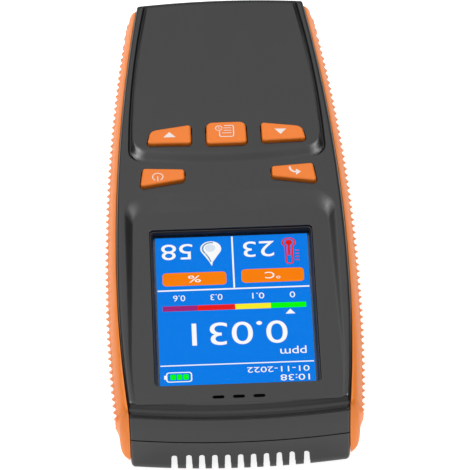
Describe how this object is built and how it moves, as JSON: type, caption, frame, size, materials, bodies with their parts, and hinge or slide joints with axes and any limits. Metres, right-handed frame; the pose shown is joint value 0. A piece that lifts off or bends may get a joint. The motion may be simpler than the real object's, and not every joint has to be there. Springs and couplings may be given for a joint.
{
  "type": "handheld air quality monitor",
  "caption": "Handheld air quality monitor with a tapering two-part case, ribbed rubber grips, a dished colour screen, sprung keys and a slotted sensor end.",
  "frame": {"origin": "under the centre of the case, on the flat back that it rests on", "axes": "+Z out of the screen, +Y along the case towards the tail of the handle, -Y towards the slotted sensor end, +X to the right when seen from the sensor end"},
  "size_m": [0.0732, 0.1742, 0.026],
  "materials": {
    "case_plastic": "fine moulded texture",
    "grip_rubber": "soft satin rubber",
    "key_plastic": "satin with printed symbols",
    "screen_clear": "clear polished",
    "screen_frame": "black gloss",
    "screen_panel": "lit colour display",
    "steel": "bright",
    "board": "green solder mask",
    "black_parts": "matt moulding",
    "ivory_parts": "moulded nylon",
    "keypad_rubber": "silicone rubber",
    "carbon": "carbon loaded rubber",
    "sensor_can": "satin",
    "cell_wrap": "shrink sleeve",
    "foam_tape": "foam tape",
    "wire_cover": "flexible insulation",
    "ribbon_film": "polyimide film",
    "label_film": "satin film"
  },
  "bodies": {
    "housing": {"front_case": "case_plastic", "rear_case": "case_plastic", "left_grip": "grip_rubber", "right_grip": "grip_rubber", "display_bezel": "screen_frame", "display_lens": "screen_clear", "display_panel": "screen_panel", "display_backlight": "steel", "display_ribbon": "ribbon_film", "ribbon_socket": "ivory_parts", "main_board": "board", "board_chips": "black_parts", "board_screws": "steel", "keypad_mat": "keypad_rubber", "buzzer": "black_parts", "sensor_board": "board", "gas_sensor": "sensor_can", "humidity_sensor": "ivory_parts", "sensor_header": "black_parts", "battery_pack": "cell_wrap", "battery_tape": "foam_tape", "battery_socket": "ivory_parts", "battery_lead": "wire_cover", "charge_board": "board", "charge_port": "steel", "charge_lead": "wire_cover", "case_screws": "steel", "rear_label": "label_film", "web_up": "keypad_rubber", "web_down": "keypad_rubber", "web_menu": "keypad_rubber", "web_power": "keypad_rubber", "web_back": "keypad_rubber"},
    "up_key": {"key_up": "key_plastic", "pill_up": "carbon"},
    "down_key": {"key_down": "key_plastic", "pill_down": "carbon"},
    "menu_key": {"key_menu": "key_plastic", "pill_menu": "carbon"},
    "power_key": {"key_power": "key_plastic", "pill_power": "carbon"},
    "back_key": {"key_back": "key_plastic", "pill_back": "carbon"}
  },
  "joints": [
    {"name": "up_press", "type": "slide", "parent": "housing", "child": "up_key", "axis": [0, 0, -1], "range_m": [0, 0.0009], "stiffness_N_per_m": 300, "deforming": ["web_up"]},
    {"name": "down_press", "type": "slide", "parent": "housing", "child": "down_key", "axis": [0, 0, -1], "range_m": [0, 0.0009], "stiffness_N_per_m": 300, "deforming": ["web_down"]},
    {"name": "menu_press", "type": "slide", "parent": "housing", "child": "menu_key", "axis": [0, 0, -1], "range_m": [0, 0.0009], "stiffness_N_per_m": 300, "deforming": ["web_menu"]},
    {"name": "power_press", "type": "slide", "parent": "housing", "child": "power_key", "axis": [0, 0, -1], "range_m": [0, 0.0009], "stiffness_N_per_m": 300, "deforming": ["web_power"]},
    {"name": "back_press", "type": "slide", "parent": "housing", "child": "back_key", "axis": [0, 0, -1], "range_m": [0, 0.0009], "stiffness_N_per_m": 300, "deforming": ["web_back"]}
  ]
}
